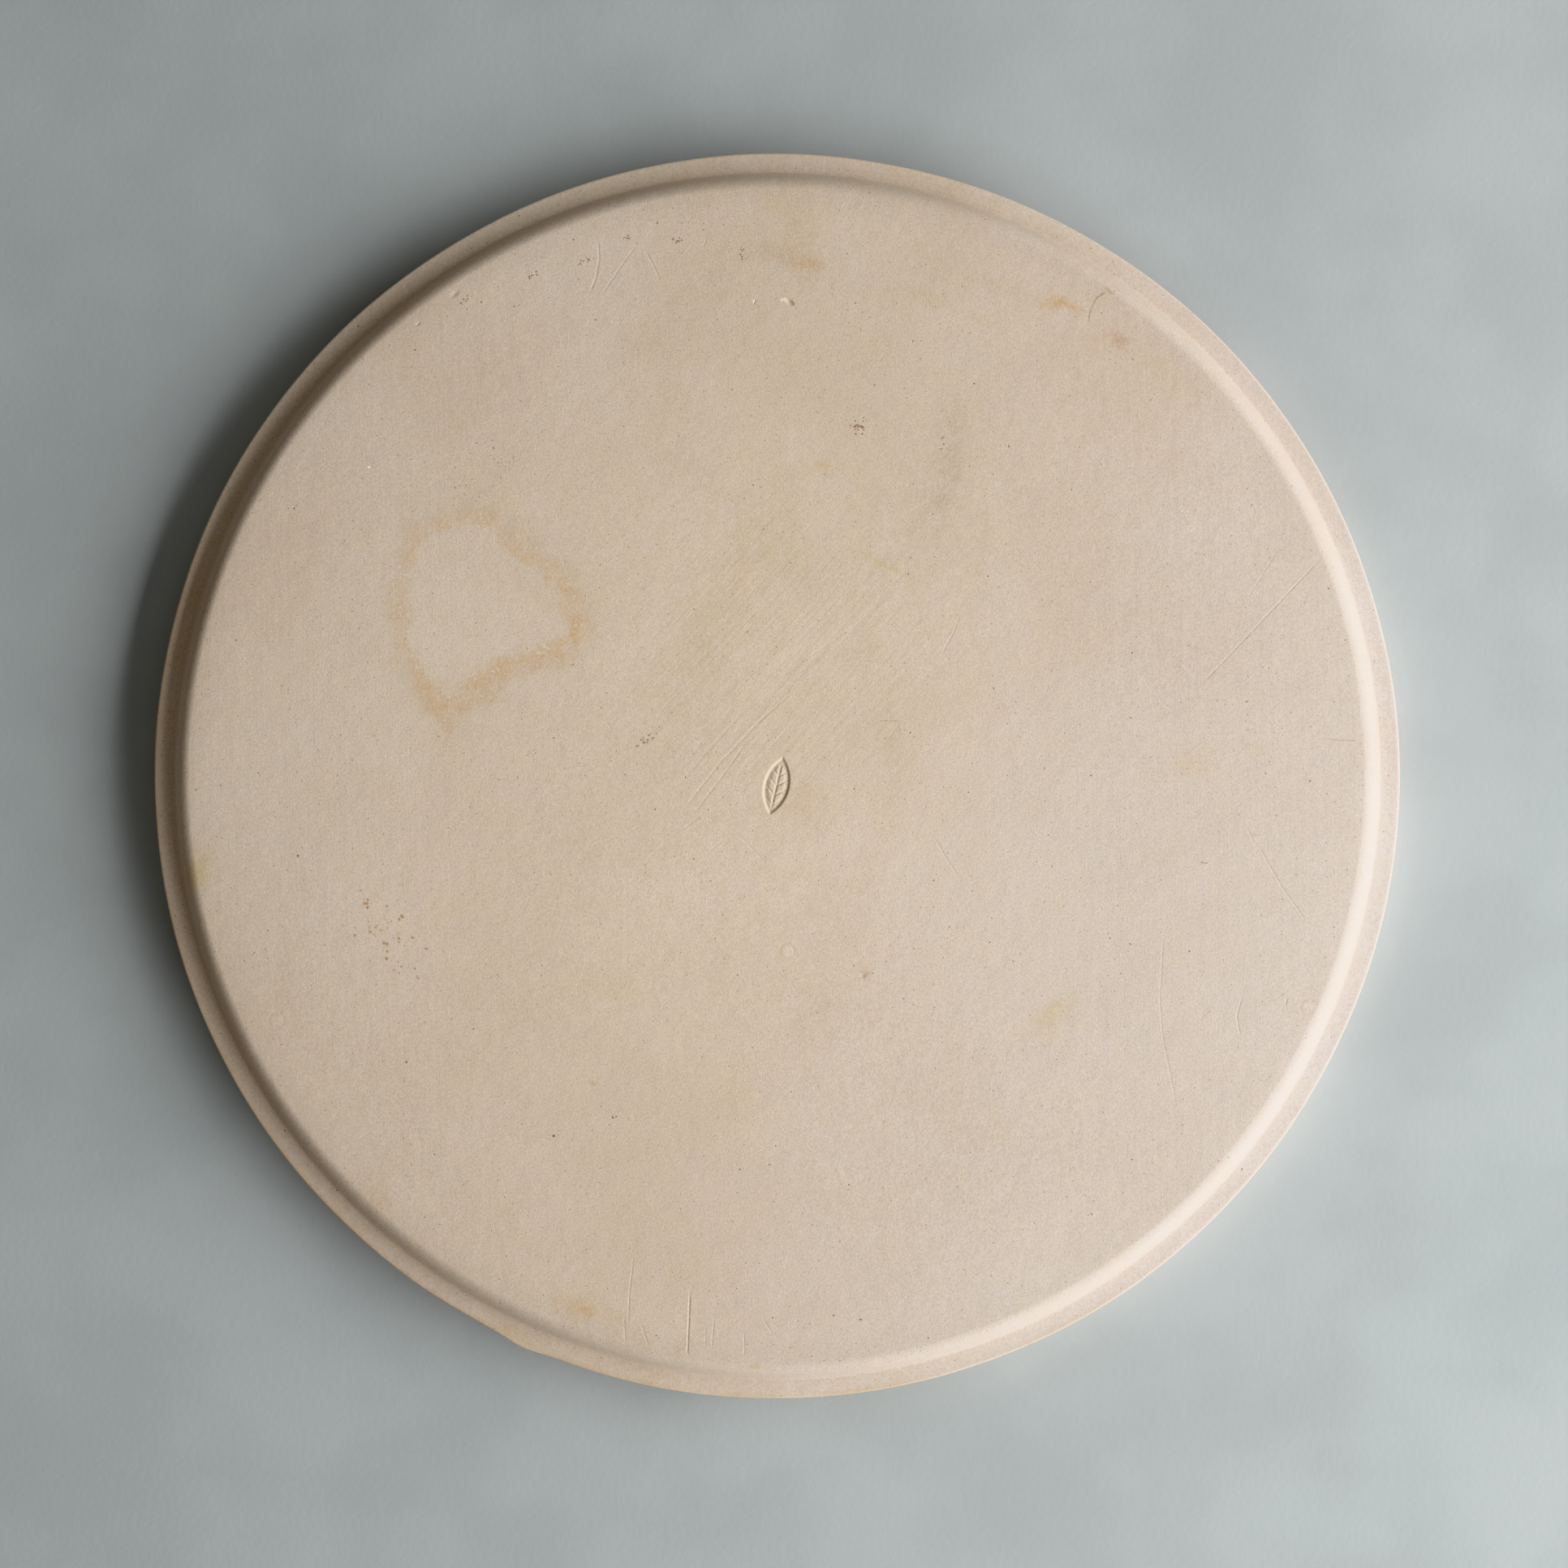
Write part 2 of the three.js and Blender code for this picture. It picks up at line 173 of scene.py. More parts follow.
# Soft stains: tint, place, half length, half width, turn in degrees, strength.
STAINS = [
    ("yellow", (13.8, 93.6), 5.2, 1.9, 8, 0.36),
    ("ochre", (1, 88), 6, 8, 0, 0.12),
    ("ochre", (-4, 75), 10, 8, 40, 0.15),
    ("ochre", (-10, 62), 15, 8, 50, 0.15),
    ("ochre", (-19, 47), 15, 8, 50, 0.16),
    ("ochre", (-27, 33), 12, 7, 50, 0.12),
    ("ochre", (8, 64), 16, 8, 10, 0.08),
    ("yellow", (24.2, 68.2), 4, 1.2, -20, 0.24),
    ("yellow", (31.5, 64.4), 5, 0.9, -24, 0.4),
    ("yellow", (39.5, 60.6), 4, 0.9, -30, 0.3),
    ("yellow", (84.4, -72.5), 7, 4, 50, 0.4),
    ("yellow", (76, -78), 6, 2.5, 35, 0.16),
    ("yellow", (127, 4), 6.5, 3.6, 20, 0.26),
    ("yellow", (145, 8), 4, 2.6, 10, 0.16),
    ("yellow", (-175.6, -28), 6, 3.6, 80, 0.8),
    ("yellow", (-50, -64), 10, 3.5, -10, 0.26),
    ("ochre", (-120.7, -128.9), 5, 3, -40, 0.4),
    ("ochre", (84.4, 143.4), 3.2, 1.6, 8, 1.5),
    ("ochre", (89.6, 142), 2.6, 1, -32, 0.9),
    ("brown", (103.9, 131.7), 2.8, 3, 0, 0.5),
    ("ochre", (101, 133.8), 4.5, 3, 30, 0.25),
    ("ochre", (120, 121), 10, 5, -42, 0.22),
    ("ochre", (46, 144.6), 8, 2.2, -20, 0.2),
    ("ochre", (62, 138), 9, 2.2, -28, 0.2),
    ("ochre", (7, 164), 7, 13, 12, 0.26),
    ("yellow", (1, 174), 6, 4, 0, 0.2),
    ("yellow", (-60.9, 42.8), 2.6, 2, 40, 0.42),
    ("ochre", (-104, 24), 5, 4, 0, 0.2),
    ("ochre", (-101, 12), 4, 9, 0, 0.2),
    ("ochre", (-85, 31), 7, 3, 30, 0.25),
    ("ochre", (-88, 86), 10, 7, 40, 0.16),
    ("ochre", (-80, 98), 5, 3, 60, 0.16),
    ("ochre", (-57.5, -162.6), 2.4, 1.6, 0, 1),
    ("ochre", (-61.5, -160.2), 7, 3.2, -10, 0.36),
    ("ochre", (-49, -163.5), 5, 2.2, 0, 0.3),
    ("ochre", (-7.3, -178.9), 1.1, 0.7, 0, 1.3),
    ("ochre", (-79.7, -169.9), 5, 1.8, -25, 0.45),
    ("yellow", (-13, -99), 13, 8, -30, 0.16),
    ("ochre", (-55.8, -93), 0.9, 0.7, 0, 1.3),
    ("brown", (1, 157.8), 10, 2.8, -10, 0.22),
    ("ochre", (9.5, 155), 4.2, 1.6, -5, 0.62),
    ("brown", (10, 151), 5, 2.2, 10, 0.12),
    ("brown", (26.5, -60.3), 2, 1.1, 35, 0.5),
    ("brown", (-30, -174), 2.4, 1, 80, 0.4),
    ("brown", (-40, 131.5), 7, 4, 10, 0.14),
    ("ochre", (7, 24), 11, 7, 50, 0.14),
    ("brown", (22, 36.5), 8, 2.6, 12, 0.12),
    ("brown", (35, 8), 4, 18, 2, 0.09),
    ("brown", (26, -32), 5, 20, -22, 0.09),
    ("yellow", (28, 72), 78, 62, 0, 0.1),
    ("ochre", (8, -7), 8, 8, 0, 0.26),
    ("shade", (12, -72), 9, 18, 0, 0.16),
    ("shade", (-24, 90), 12, 8, -40, 0.16),
    ("ochre", (-2, 44), 8, 6, 30, 0.13),
    ("ochre", (27, 40), 7, 13, 0, 0.13),
    ("ochre", (-43, -53), 10, 7, 0, 0.12),
    ("ochre", (-46, 60), 8, 6, 0, 0.12),
    ("shade", (-144, -26), 9, 12, 0, 0.13),
    ("shade", (52.8, 102), 10, 4.6, 84, 0.4),
    ("shade", (50.4, 86), 8, 4.2, 78, 0.32),
    ("pink", (42, 80), 16, 18, 0, 0.22),
    ("pink", (14, 60), 18, 10, 0, 0.16),
    ("pink", (-20, 146), 22, 10, 0, 0.12),
    ("pink", (16, -45), 12, 26, 25, 0.2),
    ("pink", (60, 150), 20, 7, -20, 0.3),
    # Painted shade: this pink patch darkens the top right, where the key light falls off.
    ("pink", (100, 124), 44, 16, -46, 0.24),
    ("pink", (-70, -90), 24, 30, 0, 0.2),
    ("pink", (-90, 120), 24, 12, 40, 0.24),
]

# Sprinkled dots: tint, place, spread along and across, turn, how many, radius of a dot.
SPRINKLES = [
    ("rust", (24.2, 106.6), 3.2, 2.6, 20, 18, 0.23),
    ("rust", (24.6, 105.8), 1.4, 1.2, 0, 7, 0.32),
    ("rust", (-39.4, 11.2), 6.4, 1.1, 28, 18, 0.24),
    ("rust", (-30.3, 162.4), 1.4, 1.1, 0, 9, 0.28),
    ("rust", (-45.7, 163), 1.6, 0.7, 0, 6, 0.24),
    ("rust", (-58, 156), 3, 0.9, 20, 11, 0.27),
    ("rust", (-66, 163.6), 2, 0.8, 0, 5, 0.26),
    ("rust", (-73.8, 151.5), 2.2, 1.4, 60, 7, 0.26),
    ("rust", (-95.5, 151.6), 5.5, 1.1, 36, 20, 0.3),
    ("rust", (-106.5, 144), 5, 1, 34, 14, 0.27),
    ("rust", (-93, 143.5), 4, 3, 0, 8, 0.26),
    ("rust", (-10.6, 158.6), 0.8, 2.6, 0, 7, 0.26),
    ("rust", (50.6, 101), 1, 3, 10, 7, 0.24),
    ("brown", (-118, -49), 12, 6, -62, 36, 0.42),
    ("brown", (-84, 96), 12, 5, 62, 30, 0.22),
    ("brown", (-93, 87), 8, 4, 30, 16, 0.22),
    ("black", (0, 0), 95, 95, 0, 34, 0.19),
    ("black", (-145, -24.2), 0, 0, 0, 1, 0.34),
    ("black", (-98.3, -73.7), 0, 0, 0, 1, 0.32),
    ("black", (-112.1, -86.7), 0, 0, 0, 1, 0.28),
    ("black", (-67.5, -109.1), 0, 0, 0, 1, 0.34),
    ("black", (-11.1, -119.2), 0, 0, 0, 1, 0.28),
    ("rust", (25.3, -164.8), 0.8, 0.4, 20, 3, 0.26),
    ("rust", (-49.6, -103.5), 0, 0, 0, 1, 0.3),
    ("black", (129, -26.2), 1.6, 0.3, -5, 6, 0.17),
    ("black", (104, 138), 12, 8, 0, 4, 0.22),
    ("pale", (125.6, 78.4), 4, 1.6, -70, 9, 0.22),
    ("pale", (1.3, 144.3), 0.6, 0.4, 0, 3, 0.36),
    ("pale", (-6.7, 143.8), 0.2, 0.9, 0, 5, 0.24),
    ("pale", (-123.1, 93.5), 0.5, 0.15, 10, 3, 0.3),
    ("cream", (-70.8, 38.6), 3, 1.3, 30, 9, 0.4),
    ("cream", (-85, 32.4), 1.6, 1, 60, 5, 0.42),
    ("cream", (-88, 75), 2.2, 1.6, -20, 7, 0.36),
    ("cream", (-113.6, 61), 1, 2, 0, 4, 0.34),
    ("cream", (-101, 24), 3, 1.2, 10, 6, 0.34),
    ("cream", (-69, 61.5), 1.5, 2.5, 30, 5, 0.34),
]

TINTS = ("ochre", "yellow", "brown", "pink", "shade", "rust", "black", "cream", "pale")


# ---- shapes in the plane ---------------------------------------------------------------------

def to_local(points, place, turn):
    """Points seen from a place, with the X axis turned by an angle."""
    offset = points - np.asarray(place)
    c, s = math.cos(turn), math.sin(turn)
    return np.column_stack([offset @ (c, s), offset @ (-s, c)])


def distance_to_line(points, corners):
    """Distance from each point to an open line of straight stretches."""
    nearest = np.full(len(points), np.inf)
    for a, b in zip(corners, corners[1:]):
        a, b = np.asarray(a), np.asarray(b)
        along = np.clip((points - a) @ (b - a) / np.dot(b - a, b - a), 0, 1)
        nearest = np.minimum(nearest, np.linalg.norm(points - a - along[:, None] * (b - a), axis=1))
    return nearest


def smooth_loop(corners, steps=8):
    """A closed Catmull-Rom curve through the corners."""
    p = np.asarray(corners)
    before, after, later = np.roll(p, 1, 0), np.roll(p, -1, 0), np.roll(p, -2, 0)
    made = []
    for t in np.arange(steps) / steps:
        made.append(0.5 * (2 * p + (after - before) * t
                           + (2 * before - 5 * p + 4 * after - later) * t ** 2
                           + (3 * p - before - 3 * after + later) * t ** 3))
    return np.stack(made, axis=1).reshape(-1, 2)


def inside(points, loop):
    """Whether each point lies inside a closed loop, by counting crossings."""
    crossings = np.zeros(len(points), dtype=int)
    x, y = points.T
    for (ax, ay), (bx, by) in zip(loop, np.roll(loop, -1, 0)):
        spans = (ay > y) != (by > y)
        with np.errstate(divide="ignore", invalid="ignore"):
            crossing_x = ax + (y - ay) * (bx - ax) / (by - ay)
        crossings += spans & (x < crossing_x)
    return crossings % 2 == 1


def hump(distance, half_width):
    """1 in the middle, 0 from the half width outwards, smooth at both."""
    return np.clip(1 - (distance / half_width) ** 2, 0, 1) ** 2


def smoothstep(low, high, value):
    """0 below low, 1 above high, smooth between."""
    t = np.clip((value - low) / (high - low), 0, 1)
    return t * t * (3 - 2 * t)


def near_box(points, corners, margin):
    """Which points lie within a margin of the corners' box."""
    low = np.min(corners, axis=0) - margin
    high = np.max(corners, axis=0) + margin
    return np.all((points > low) & (points < high), axis=1)


def end_fade(points, corners, fading_share=0.12, at_the_end=0.25):
    """A scratch runs out at both of its ends, over a share of its length."""
    start, end = np.asarray(corners[0]), np.asarray(corners[-1])
    reach = np.linalg.norm(end - start)
    from_start = np.linalg.norm(points - start, axis=1)
    from_end = np.linalg.norm(points - end, axis=1)
    nearer = np.minimum(from_start, from_end)
    return np.clip(nearer / (fading_share * reach), at_the_end, 1)


# ---- height of the plateau -------------------------------------------------------------------

def slow_waves(points, count=26, shortest=45, longest=170, amplitude=0.028):
    """The slight unevenness of a surface smoothed by hand."""
    rng = np.random.default_rng(SEED)
    height = np.zeros(len(points))
    for _ in range(count):
        heading, phase = rng.uniform(0, 2 * math.pi, 2)
        length = rng.uniform(shortest, longest)
        across = points @ (math.cos(heading), math.sin(heading))
        height += amplitude * length / longest * np.sin(2 * math.pi * across / length + phase)
    return height


def leaf_relief(points):
    """A leaf pressed into the plaster: a sunk outline, a pillowed blade, a rib and its veins."""
    rib_half_width, rib_share = 0.55, 0.7
    vein_half_width, vein_share = 0.42, 0.55
    vein_spacing, vein_slope = 3.0, 0.8
    square_to_vein = 0.78           # turns a distance along the rib into one square to a vein
    pillow_share = 0.62

    local = to_local(points, MARK_PLACE, MARK_LEAN)
    across, along = np.abs(local[:, 0]), local[:, 1]
    half_length, half_width = MARK_LENGTH / 2, MARK_WIDTH / 2
    side_radius = (half_length ** 2 + half_width ** 2) / MARK_WIDTH
    inward = side_radius - np.hypot(across + side_radius - half_width, along)
    sunk = smoothstep(-0.15, 0.75, inward)
    pillow = smoothstep(0.5, 2.2, inward) * pillow_share
    rib = hump(across, rib_half_width) * (np.abs(along) < half_length) * rib_share
    vein_place = (along - vein_slope * across) / vein_spacing
    to_vein = np.abs(vein_place - np.round(vein_place)) * vein_spacing * square_to_vein
    vein = hump(to_vein, vein_half_width) * vein_share
    blade = np.clip(pillow * (1 - rib - vein * (1 - rib)), 0, 1)
    return -MARK_DEPTH * sunk * (1 - blade)


def scratch_relief(points, widest=2.0, burr_share=0.15):
    """Each scratch is a groove between two low burrs."""
    height = np.zeros(len(points))
    for corners, half_width, depth in SCRATCHES + STAINED_LINES:
        near = near_box(points, corners, widest)
        distance = distance_to_line(points[near], corners)
        fade = end_fade(points[near], corners)
        groove = -depth * hump(distance, half_width * 1.5)
        burr = burr_share * depth * hump(distance - half_width * 2.1, half_width)
        height[near] += fade * (groove + burr)
    return height


def pit_relief(points, ring_depth=0.03, ring_half_width=0.6, cushion_height=0.02):
    """The pits, and the peg scars: each is a faint ring round a low cushion."""
    height = np.zeros(len(points))
    for place, half_length, half_width, turn, depth in PITS:
        local = to_local(points, place, math.radians(turn))
        height -= depth * hump(np.hypot(local[:, 0] / half_length, local[:, 1] / half_width), 1.3)
    for place, radius in PEG_SCARS:
        distance = np.linalg.norm(points - place, axis=1)
        height -= ring_depth * hump(distance - radius, ring_half_width)
        height += cushion_height * hump(distance, radius)
    return height


def plateau_height(points, calm_width=25):
    """Height of the plateau with all its marks. The slow waves die out towards its edge."""
    inward = PLATEAU_RADIUS - np.linalg.norm(points, axis=1)
    waves = slow_waves(points) * smoothstep(0, calm_width, inward)
    return PLATEAU_TOP + waves + leaf_relief(points) + scratch_relief(points) + pit_relief(points)


# ---- tints of the plateau --------------------------------------------------------------------

def sprinkle_dots(edge_margin=4):
    """All the sprinkled dots as (tint, place, radius), the same ones every run."""
    rng = np.random.default_rng(SEED + 1)
    dots = []
    for tint, place, along, across, turn, count, radius in SPRINKLES:
        a = math.radians(turn)
        for _ in range(count):
            u, v = rng.normal(0, 0.55, 2) * (along, across)
            spot = (place[0] + u * math.cos(a) - v * math.sin(a),
                    place[1] + u * math.sin(a) + v * math.cos(a))
            size = radius * rng.uniform(0.6, 1.25)
            if math.hypot(*spot) < PLATEAU_RADIUS - edge_margin:
                dots.append((tint, spot, size))
    return dots


def tint_fields(points, dots, scar_ring=0.22, scar_bloom=0.12):
    """How strongly each tint lies on each point, 0 to 1 or a little more."""
    fields = {tint: np.zeros(len(points)) for tint in TINTS}
    for tint, place, half_length, half_width, turn, strength in STAINS:
        local = to_local(points, place, math.radians(turn))
        reach = np.hypot(local[:, 0] / half_length, local[:, 1] / half_width)
        fields[tint] += strength * np.exp(-reach ** 2)
    for tint, place, radius in dots:
        distance = np.linalg.norm(points - place, axis=1)
        dot = 1 - smoothstep(radius * 0.6, radius * 1.3, distance)
        fields[tint] = np.maximum(fields[tint], dot)
    for corners, half_width, depth in STAINED_LINES:
        distance = distance_to_line(points, corners)
        fade = end_fade(points, corners)
        stain = depth / FULL_STAIN_DEPTH * fade * hump(distance, half_width * 2)
        fields["brown"] = np.maximum(fields["brown"], stain)
    # Each scratch is darker along its groove.
    for corners, half_width, depth in SCRATCHES:
        near = near_box(points, corners, 1.5)
        distance = distance_to_line(points[near], corners)
        groove_darkening = depth * hump(distance, half_width)
        fields["black"][near] = np.maximum(fields["black"][near], groove_darkening)
    for place, radius in PEG_SCARS:
        distance = np.linalg.norm(points - place, axis=1)
        fields["ochre"] += scar_ring * hump(distance - radius, 0.9)
        fields["pale"] += scar_bloom * hump(distance, radius * 1.3)
    return fields


def tide_distance(points, furthest=30.0):
    """Signed distance to the tide mark's line, below 0 inside it, held at a furthest value."""
    loop = smooth_loop(TIDE_MARK)
    distance = np.full(len(points), furthest)
    near = near_box(points, TIDE_MARK, furthest)
    reach = distance_to_line(points[near], np.vstack([loop, loop[:1]]))
    side = np.where(inside(points[near], loop), -1, 1)
    distance[near] = np.minimum(reach, furthest) * side
    return distance


# ---- outline round the rim -------------------------------------------------------------------

def turn_from(angle, azimuth):
    """How far an angle is from an azimuth, the shorter way round."""
    return (angle - azimuth + math.pi) % (2 * math.pi) - math.pi


def swell(off, height, half_angle):
    """A smooth rise of the rim round one place."""
    return height * np.exp(-(off / half_angle) ** 2)


def rim_bulge(angle):
    """How far the rim stands out from a true circle: a slack hand-trimmed line, and one knock."""
    off = turn_from(angle, KNOCK_AZIMUTH)
    burst = swell(off, 0.9, 0.035)
    dent = swell(off + 0.11, 0.35, 0.06)
    slack = 0.12 * np.sin(3 * angle + 1.0) + 0.08 * np.sin(7 * angle + 2.2)
    return burst - dent + slack + 0.05 * np.sin(17 * angle)


def face_bulge(angle):
    """The face coat's rim, which shrank back a little from the backing on one side."""
    shrinkage = swell(turn_from(angle, WORN_AZIMUTH), 0.15, 0.7)
    return rim_bulge(angle) - shrinkage


def arc(centre, radius, start, end, steps):
    """Points of an arc in section, both ends included."""
    angles = np.linspace(start, end, steps + 1)
    return [(centre[0] + radius * math.cos(a), centre[1] + radius * math.sin(a)) for a in angles]


def face_section():
    """The face coat in section, from the flat plateau's end, over the edge, down and in below.

    Each point is (radius, height, share of the rim's bulge it takes)."""
    lean = math.pi / 2 - WALL_SLOPE
    foot_centre = (WALL_FOOT_RADIUS, LIP_TOP + FOOT_ROUNDING)
    foot = arc(foot_centre, FOOT_ROUNDING, math.pi + lean, 1.5 * math.pi, 6)
    edge_height = PLATEAU_TOP - EDGE_ROUNDING
    wall_rise = edge_height + EDGE_ROUNDING * math.sin(lean) - foot[0][1]
    wall_top_radius = foot[0][0] - wall_rise / math.tan(WALL_SLOPE)
    edge_radius = wall_top_radius - EDGE_ROUNDING * math.cos(lean)
    edge = arc((edge_radius, edge_height), EDGE_ROUNDING, math.pi / 2, lean, 12)
    wall_top, wall_foot = np.array(edge[-1]), np.array(foot[0])
    wall_steps = [tuple(wall_top + t * (wall_foot - wall_top)) for t in (0.33, 0.67)]
    rim_centre = (FACE_RADIUS - LIP_ROUNDING, LIP_TOP - LIP_ROUNDING)
    rim = arc(rim_centre, LIP_ROUNDING, math.pi / 2, 0, 6)
    lip_steps = [(r, LIP_TOP) for r in np.linspace(foot[-1][0], rim[0][0], 6)[1:-1]]
    side_steps = [(FACE_RADIUS, h) for h in np.linspace(rim[-1][1], FACE_RIM_BOTTOM, 5)[1:]]
    lip_width = FACE_RADIUS - WALL_FOOT_RADIUS
    shown = [(r, h, 0.0) for r, h in edge + wall_steps + foot]
    lip = [(r, h, (r - WALL_FOOT_RADIUS) / lip_width) for r, h in lip_steps]
    outer = [(r, h, 1.0) for r, h in rim + side_steps]
    hidden = [(STEP_RADIUS + GAP, FACE_RIM_BOTTOM, 0.0), (STEP_RADIUS, FACE_UNDERSIDE, 0.0)]
    return shown + lip + outer + hidden


FACE_SECTION = face_section()
PLATEAU_RADIUS = FACE_SECTION[0][0]


# ---- mesh making -----------------------------------------------------------------------------

def round_ring(radius, height, bulge_share, bulge=rim_bulge):
    """A ring of vertices that takes a share of the rim's bulge."""
    angle = np.arange(ROUND_STEPS) * 2 * math.pi / ROUND_STEPS
    reach = radius + bulge_share * bulge(angle)
    return np.column_stack([reach * np.cos(angle), reach * np.sin(angle),
                            np.full(ROUND_STEPS, height)])


def ring_faces(first, second):
    """Quads between two rings of vertices, given by the rings' first vertices."""
    i = np.arange(ROUND_STEPS)
    j = (i + 1) % ROUND_STEPS
    return np.column_stack([first + i, second + i, second + j, first + j]).tolist()


def fan_faces(ring, middle):
    """Triangles between a ring and one vertex in its middle."""
    i = np.arange(ROUND_STEPS)
    j = (i + 1) % ROUND_STEPS
    return np.column_stack([ring + i, np.full(ROUND_STEPS, middle), ring + j]).tolist()


def patch(centre, half_x, half_y, spacing, turn=0.0):
    """A small grid of points, finer than the plateau's own."""
    x, y = np.meshgrid(np.arange(-half_x, half_x + spacing, spacing),
                       np.arange(-half_y, half_y + spacing, spacing))
    c, s = math.cos(turn), math.sin(turn)
    return np.column_stack([centre[0] + x.ravel() * c - y.ravel() * s,
                            centre[1] + x.ravel() * s + y.ravel() * c])


def along_line(corners, half_width, longest_step=0.6):
    """Rows of points along a scratch: its bed, its walls, its burrs and flat ground outside."""
    rows = np.array([-4.6, -3.2, -2.1, -1.3, -0.6, 0.0, 0.6, 1.3, 2.1, 3.2, 4.6]) * half_width
    made = []
    for a, b in zip(corners, corners[1:]):
        a, b = np.asarray(a, float), np.asarray(b, float)
        length = np.linalg.norm(b - a)
        ahead = (b - a) / length
        side = np.array([-ahead[1], ahead[0]])
        steps = np.linspace(0, 1, max(2, int(length / longest_step) + 1))
        for t in steps:
            made.append(a + t * (b - a) + rows[:, None] * side)
    return np.vstack(made)


def dot_points(place, radius):
    """A middle point with two rings round it."""
    angles = np.arange(6) * math.pi / 3
    circle = np.column_stack([np.cos(angles), np.sin(angles)])
    return np.vstack([[(0, 0)], circle * radius * 0.7, circle * radius * 1.4]) + place


def even_net():
    """Points on evenly spaced rings all over the plateau."""
    rings = [np.zeros((1, 2))]
    count = int(PLATEAU_RADIUS / GRID)
    for k in range(1, count):
        radius = PLATEAU_RADIUS * k / count
        number = max(6, int(2 * math.pi * radius / GRID))
        angle = (np.arange(number) + 0.5 * (k % 2)) * 2 * math.pi / number
        rings.append(radius * np.column_stack([np.cos(angle), np.sin(angle)]))
    return np.vstack(rings)


def plateau_points(dots):
    """Where the plateau has vertices: an even net, and finer ones round every mark."""
    mark_margin, scar_margin, edge_margin = 0.6, 0.9, 0.6
    narrow = 3.5                    # stains narrower than this need vertices of their own
    fine = [patch(MARK_PLACE, MARK_WIDTH / 2 + mark_margin, MARK_LENGTH / 2 + mark_margin,
                  0.17, MARK_LEAN)]
    fine += [along_line(corners, half) for corners, half, _ in SCRATCHES + STAINED_LINES]
    for place, half_length, half_width, turn, _ in PITS:
        spacing = max(0.15, half_width / 5)
        reach = (half_length * 1.4, half_width * 1.4)
        fine.append(patch(place, *reach, spacing, math.radians(turn)))
    for place, radius in PEG_SCARS:
        fine.append(patch(place, radius + scar_margin, radius + scar_margin, 0.25))
    fine += [dot_points(place, radius) for _, place, radius in dots]
    for _, place, half_length, half_width, turn, _ in STAINS:
        if half_width < narrow:
            reach = (1.8 * half_length, 1.8 * half_width)
            fine.append(patch(place, *reach, half_width / 3, math.radians(turn)))
    points = np.vstack([even_net()] + fine)
    kept = np.linalg.norm(points, axis=1) < PLATEAU_RADIUS - edge_margin
    return thinned(points[kept])


def thinned(points, spacing=0.08):
    """Points with all but one left out where several are nearly in one place."""
    cell = np.round(points / spacing).astype(int)
    _, first = np.unique(cell, axis=0, return_index=True)
    return points[np.sort(first)]


def new_piece(name, vertices, faces):
    """An object with a mesh of its own, from vertices in millimetres."""
    mesh = bpy.data.meshes.new(name)
    mesh.from_pydata((np.asarray(vertices) * MM).tolist(), [], faces)
    mesh.validate()
    mesh.update()
    piece = bpy.data.objects.new(name, mesh)
    bpy.context.scene.collection.objects.link(piece)
    return piece


def smooth_but_for_corners(piece, corner_degrees=40):
    """Smooth shading that keeps every corner sharper than an angle."""
    piece.data.shade_smooth()
    piece.data.set_sharp_from_angle(angle=math.radians(corner_degrees))


def store(mesh, name, values):
    """Puts one number on each vertex, where a material can read it."""
    attribute = mesh.attributes.new(name, "FLOAT", "POINT")
    attribute.data.foreach_set("value", np.asarray(values, dtype=np.float32))


# ---- pieces ----------------------------------------------------------------------------------

def make_face():
    """The face coat: the plateau as one net of triangles, then ring by ring down the section."""
    dots = sprinkle_dots()
    edge_ring = round_ring(*FACE_SECTION[0], face_bulge)[:, :2]
    flat = [Vector(p) for p in np.vstack([edge_ring, plateau_points(dots)])]
    made, _, triangles, *_ = delaunay_2d_cdt(flat, [], [], 0, 1e-5, False)
    top = np.array([(v.x, v.y) for v in made])
    if not np.allclose(top[:ROUND_STEPS], edge_ring, atol=1e-4):
        raise ValueError("the plateau's edge no longer comes first")

    vertices = [np.column_stack([top, plateau_height(top)])]
    faces = [list(t) for t in triangles]
    start = len(top)
    previous = 0
    for radius, height, share in FACE_SECTION[1:]:
        vertices.append(round_ring(radius, height, share, face_bulge))
        faces += ring_faces(previous, start)
        previous = start
        start += ROUND_STEPS
    vertices.append(np.array([[0.0, 0.0, FACE_UNDERSIDE]]))
    faces += fan_faces(previous, start)
    everything = np.vstack(vertices)

    piece = new_piece("face_coat_surface", everything, faces)
    smooth_but_for_corners(piece)
    flat_places = everything[:, :2]
    for tint, values in tint_fields(flat_places, dots).items():
        store(piece.data, tint, values)
    store(piece.data, "tide", tide_distance(flat_places))
    return piece


